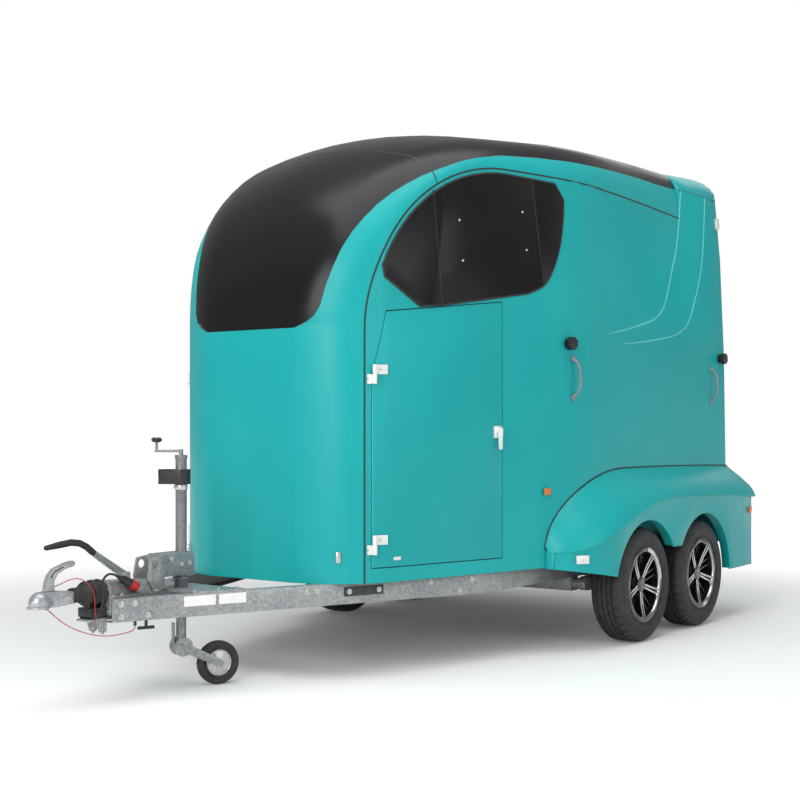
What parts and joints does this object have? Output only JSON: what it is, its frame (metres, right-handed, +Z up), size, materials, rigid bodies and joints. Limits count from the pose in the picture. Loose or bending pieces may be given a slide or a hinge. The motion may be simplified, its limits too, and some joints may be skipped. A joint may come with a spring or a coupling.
{
  "type": "horse trailer",
  "caption": "Braked tandem-axle horse trailer with a curved nose, side doors, rear ramp and upper flap, standing on its wheels and jockey wheel.",
  "frame": {"origin": "on the ground below the middle of the trailer's overall box", "axes": "+X forward towards the coupling, +Y to the trailer's left, +Z up"},
  "size_m": [4.811, 2.3, 2.8797],
  "materials": {
    "zinc": "mottled hot-dip galvanised",
    "teal": "satin turquoise gel coat",
    "black": "smooth black gel coat",
    "smoked": "dark smoked acrylic",
    "rubber": "matt black rubber",
    "black_plastic": "matt black moulding",
    "tyre": "matt tyre rubber",
    "alloy": "polished faces on black",
    "deck": "coated plywood",
    "white": "white moulding",
    "grey": "grey moulding",
    "lamp": "coloured lens",
    "red": "red plastic over wire",
    "cast": "bright galvanised casting"
  },
  "bodies": {
    "trailer": {"rail_left": "zinc", "rail_right": "zinc", "cross_frame": "zinc", "axle_front": "zinc", "axle_rear": "zinc", "overrun_housing": "zinc", "bellows": "rubber", "coupling_head": "cast", "coupling_lever": "zinc", "handbrake": "rubber", "jockey_tube": "zinc", "floor": "deck", "nose_shell": "teal", "roof_dome": "black", "side_left": "teal", "side_right": "teal", "window_left": "smoked", "window_right": "smoked", "hinges": "white", "rear_hood": "teal", "rear_frame": "teal", "mudguard_left": "teal", "mudguard_right": "teal", "partition": "alloy", "handles": "grey", "knobs": "black_plastic", "lamps": "lamp", "plug": "black_plastic", "lead": "rubber", "breakaway": "red"},
    "wheel_fl": {"tyre_fl": "tyre", "rim_fl": "alloy"},
    "wheel_fr": {"tyre_fr": "tyre", "rim_fr": "alloy"},
    "wheel_rl": {"tyre_rl": "tyre", "rim_rl": "alloy"},
    "wheel_rr": {"tyre_rr": "tyre", "rim_rr": "alloy"},
    "jockey_swivel": {"jockey_fork": "zinc"},
    "jockey_wheel": {"jockey_rim": "zinc", "jockey_tyre": "rubber"},
    "door_left": {"door_left": "teal"},
    "door_right": {"door_right": "teal"},
    "ramp": {"ramp": "teal"},
    "top_flap": {"top_flap": "teal"}
  },
  "joints": [
    {"name": "spin_fl", "type": "hinge", "parent": "trailer", "child": "wheel_fl", "pos_m": [-0.9095, 1.0275, 0.317], "axis": [0, 1, 0], "continuous": true},
    {"name": "spin_fr", "type": "hinge", "parent": "trailer", "child": "wheel_fr", "pos_m": [-0.9095, -1.0275, 0.317], "axis": [0, 1, 0], "continuous": true},
    {"name": "spin_rl", "type": "hinge", "parent": "trailer", "child": "wheel_rl", "pos_m": [-1.6515, 1.0275, 0.317], "axis": [0, 1, 0], "continuous": true},
    {"name": "spin_rr", "type": "hinge", "parent": "trailer", "child": "wheel_rr", "pos_m": [-1.6515, -1.0275, 0.317], "axis": [0, 1, 0], "continuous": true},
    {"name": "jockey_turn", "type": "hinge", "parent": "trailer", "child": "jockey_swivel", "pos_m": [1.5495, 0, 0.3], "axis": [0, 0, 1], "continuous": true},
    {"name": "jockey_spin", "type": "hinge", "parent": "jockey_swivel", "child": "jockey_wheel", "pos_m": [1.3843, 0.07149, 0.101], "axis": [0.3971, 0.9178, 0], "continuous": true},
    {"name": "door_left_hinge", "type": "hinge", "parent": "trailer", "child": "door_left", "pos_m": [0.8875, 0.60945, 1.1], "axis": [0, 0, -1], "range_deg": [0, 165]},
    {"name": "door_right_hinge", "type": "hinge", "parent": "trailer", "child": "door_right", "pos_m": [0.8875, -0.60945, 1.1], "axis": [0, 0, 1], "range_deg": [0, 165]},
    {"name": "ramp_hinge", "type": "hinge", "parent": "trailer", "child": "ramp", "pos_m": [-2.3775, 0, 0.466], "axis": [0, -1, 0], "range_deg": [0, 112]},
    {"name": "flap_hinge", "type": "hinge", "parent": "trailer", "child": "top_flap", "pos_m": [-2.2235, 0, 2.553], "axis": [0, 1, 0], "range_deg": [0, 90]}
  ]
}
